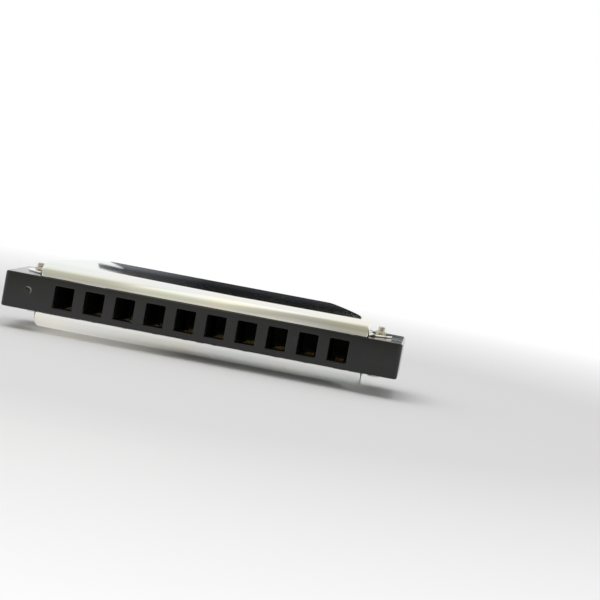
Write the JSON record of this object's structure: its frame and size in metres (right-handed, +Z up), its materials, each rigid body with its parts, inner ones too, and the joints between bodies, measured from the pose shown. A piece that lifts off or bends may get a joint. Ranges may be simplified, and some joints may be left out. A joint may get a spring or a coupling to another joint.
{
  "type": "diatonic harmonica",
  "caption": "Small mouth organ: a black comb with a row of square mouth holes between two polished covers with eared ends, brass reed plates and sprung reeds inside.",
  "frame": {"origin": "under the middle of the comb, at the level of the lowest edge of the bottom cover", "axes": "+X along the row of holes from the low notes to the high ones, -Y towards the player's mouth, +Z up through the top cover"},
  "size_m": [0.0988, 0.0263, 0.019],
  "materials": {
    "black_plastic": "moulded black plastic with a fine satin grain",
    "brass": "milled sheet brass",
    "reed_bronze": "ground spring bronze",
    "screw_steel": "plain turned steel",
    "polished_steel": "polished sheet steel",
    "nickel": "nickel-plated steel"
  },
  "bodies": {
    "instrument": {"comb": "black_plastic", "upper_reed_plate": "brass", "lower_reed_plate": "brass", "top_cover": "polished_steel", "bottom_cover": "polished_steel", "cover_bolt_left": "nickel", "cover_bolt_right": "nickel", "cover_nut_left": "nickel", "cover_nut_right": "nickel", "blow_reed_root_1": "reed_bronze", "blow_reed_root_2": "reed_bronze", "blow_reed_root_3": "reed_bronze", "blow_reed_root_4": "reed_bronze", "blow_reed_root_5": "reed_bronze", "blow_reed_root_6": "reed_bronze", "blow_reed_root_7": "reed_bronze", "blow_reed_root_8": "reed_bronze", "blow_reed_root_9": "reed_bronze", "blow_reed_root_10": "reed_bronze", "draw_reed_root_1": "reed_bronze", "draw_reed_root_2": "reed_bronze", "draw_reed_root_3": "reed_bronze", "draw_reed_root_4": "reed_bronze", "draw_reed_root_5": "reed_bronze", "draw_reed_root_6": "reed_bronze", "draw_reed_root_7": "reed_bronze", "draw_reed_root_8": "reed_bronze", "draw_reed_root_9": "reed_bronze", "draw_reed_root_10": "reed_bronze", "upper_plate_screw_1": "screw_steel", "upper_plate_screw_2": "screw_steel", "upper_plate_screw_3": "screw_steel", "upper_plate_screw_4": "screw_steel", "upper_plate_screw_5": "screw_steel", "lower_plate_screw_1": "screw_steel", "lower_plate_screw_2": "screw_steel", "lower_plate_screw_3": "screw_steel", "lower_plate_screw_4": "screw_steel", "lower_plate_screw_5": "screw_steel"},
    "blow_tongue_1": {"blow_reed_1": "reed_bronze"},
    "blow_tongue_2": {"blow_reed_2": "reed_bronze"},
    "blow_tongue_3": {"blow_reed_3": "reed_bronze"},
    "blow_tongue_4": {"blow_reed_4": "reed_bronze"},
    "blow_tongue_5": {"blow_reed_5": "reed_bronze"},
    "blow_tongue_6": {"blow_reed_6": "reed_bronze"},
    "blow_tongue_7": {"blow_reed_7": "reed_bronze"},
    "blow_tongue_8": {"blow_reed_8": "reed_bronze"},
    "blow_tongue_9": {"blow_reed_9": "reed_bronze"},
    "blow_tongue_10": {"blow_reed_10": "reed_bronze"},
    "draw_tongue_1": {"draw_reed_1": "reed_bronze"},
    "draw_tongue_2": {"draw_reed_2": "reed_bronze"},
    "draw_tongue_3": {"draw_reed_3": "reed_bronze"},
    "draw_tongue_4": {"draw_reed_4": "reed_bronze"},
    "draw_tongue_5": {"draw_reed_5": "reed_bronze"},
    "draw_tongue_6": {"draw_reed_6": "reed_bronze"},
    "draw_tongue_7": {"draw_reed_7": "reed_bronze"},
    "draw_tongue_8": {"draw_reed_8": "reed_bronze"},
    "draw_tongue_9": {"draw_reed_9": "reed_bronze"},
    "draw_tongue_10": {"draw_reed_10": "reed_bronze"}
  },
  "joints": [
    {"name": "blow_reed_1_swing", "type": "hinge", "parent": "instrument", "child": "blow_tongue_1", "pos_m": [-0.0342, 0.00489, 0.01257], "axis": [1, 0, 0], "range_deg": [-5.2, 5.2], "stiffness_Nm_per_rad": 0.0419},
    {"name": "blow_reed_2_swing", "type": "hinge", "parent": "instrument", "child": "blow_tongue_2", "pos_m": [-0.0266, 0.00438, 0.01257], "axis": [1, 0, 0], "range_deg": [-5.1, 5.1], "stiffness_Nm_per_rad": 0.0436},
    {"name": "blow_reed_3_swing", "type": "hinge", "parent": "instrument", "child": "blow_tongue_3", "pos_m": [-0.019, 0.00387, 0.01257], "axis": [1, 0, 0], "range_deg": [-4.9, 4.9], "stiffness_Nm_per_rad": 0.0455},
    {"name": "blow_reed_4_swing", "type": "hinge", "parent": "instrument", "child": "blow_tongue_4", "pos_m": [-0.0114, 0.00336, 0.01257], "axis": [1, 0, 0], "range_deg": [-4.7, 4.7], "stiffness_Nm_per_rad": 0.0475},
    {"name": "blow_reed_5_swing", "type": "hinge", "parent": "instrument", "child": "blow_tongue_5", "pos_m": [-0.0038, 0.00285, 0.01257], "axis": [1, 0, 0], "range_deg": [-4.6, 4.6], "stiffness_Nm_per_rad": 0.0497},
    {"name": "blow_reed_6_swing", "type": "hinge", "parent": "instrument", "child": "blow_tongue_6", "pos_m": [0.0038, 0.00234, 0.01257], "axis": [1, 0, 0], "range_deg": [-4.4, 4.4], "stiffness_Nm_per_rad": 0.0521},
    {"name": "blow_reed_7_swing", "type": "hinge", "parent": "instrument", "child": "blow_tongue_7", "pos_m": [0.0114, 0.00183, 0.01257], "axis": [1, 0, 0], "range_deg": [-4.2, 4.2], "stiffness_Nm_per_rad": 0.0547},
    {"name": "blow_reed_8_swing", "type": "hinge", "parent": "instrument", "child": "blow_tongue_8", "pos_m": [0.019, 0.00132, 0.01257], "axis": [1, 0, 0], "range_deg": [-3.9, 3.9], "stiffness_Nm_per_rad": 0.0577},
    {"name": "blow_reed_9_swing", "type": "hinge", "parent": "instrument", "child": "blow_tongue_9", "pos_m": [0.0266, 0.00081, 0.01257], "axis": [1, 0, 0], "range_deg": [-3.6, 3.6], "stiffness_Nm_per_rad": 0.0609},
    {"name": "blow_reed_10_swing", "type": "hinge", "parent": "instrument", "child": "blow_tongue_10", "pos_m": [0.0342, 0.0003, 0.01257], "axis": [1, 0, 0], "range_deg": [-3.3, 3.3], "stiffness_Nm_per_rad": 0.0646},
    {"name": "draw_reed_1_swing", "type": "hinge", "parent": "instrument", "child": "draw_tongue_1", "pos_m": [-0.0342, -0.00354, 0.00497], "axis": [1, 0, 0], "range_deg": [-5.2, 5.2], "stiffness_Nm_per_rad": 0.0419},
    {"name": "draw_reed_2_swing", "type": "hinge", "parent": "instrument", "child": "draw_tongue_2", "pos_m": [-0.0266, -0.00363, 0.00497], "axis": [1, 0, 0], "range_deg": [-5.1, 5.1], "stiffness_Nm_per_rad": 0.0436},
    {"name": "draw_reed_3_swing", "type": "hinge", "parent": "instrument", "child": "draw_tongue_3", "pos_m": [-0.019, -0.00372, 0.00497], "axis": [1, 0, 0], "range_deg": [-4.9, 4.9], "stiffness_Nm_per_rad": 0.0455},
    {"name": "draw_reed_4_swing", "type": "hinge", "parent": "instrument", "child": "draw_tongue_4", "pos_m": [-0.0114, -0.00381, 0.00497], "axis": [1, 0, 0], "range_deg": [-4.7, 4.7], "stiffness_Nm_per_rad": 0.0475},
    {"name": "draw_reed_5_swing", "type": "hinge", "parent": "instrument", "child": "draw_tongue_5", "pos_m": [-0.0038, -0.0039, 0.00497], "axis": [1, 0, 0], "range_deg": [-4.6, 4.6], "stiffness_Nm_per_rad": 0.0497},
    {"name": "draw_reed_6_swing", "type": "hinge", "parent": "instrument", "child": "draw_tongue_6", "pos_m": [0.0038, -0.00399, 0.00497], "axis": [1, 0, 0], "range_deg": [-4.4, 4.4], "stiffness_Nm_per_rad": 0.0521},
    {"name": "draw_reed_7_swing", "type": "hinge", "parent": "instrument", "child": "draw_tongue_7", "pos_m": [0.0114, -0.00408, 0.00497], "axis": [1, 0, 0], "range_deg": [-4.2, 4.2], "stiffness_Nm_per_rad": 0.0547},
    {"name": "draw_reed_8_swing", "type": "hinge", "parent": "instrument", "child": "draw_tongue_8", "pos_m": [0.019, -0.00417, 0.00497], "axis": [1, 0, 0], "range_deg": [-3.9, 3.9], "stiffness_Nm_per_rad": 0.0577},
    {"name": "draw_reed_9_swing", "type": "hinge", "parent": "instrument", "child": "draw_tongue_9", "pos_m": [0.0266, -0.00426, 0.00497], "axis": [1, 0, 0], "range_deg": [-3.6, 3.6], "stiffness_Nm_per_rad": 0.0609},
    {"name": "draw_reed_10_swing", "type": "hinge", "parent": "instrument", "child": "draw_tongue_10", "pos_m": [0.0342, -0.00435, 0.00497], "axis": [1, 0, 0], "range_deg": [-3.3, 3.3], "stiffness_Nm_per_rad": 0.0646}
  ]
}
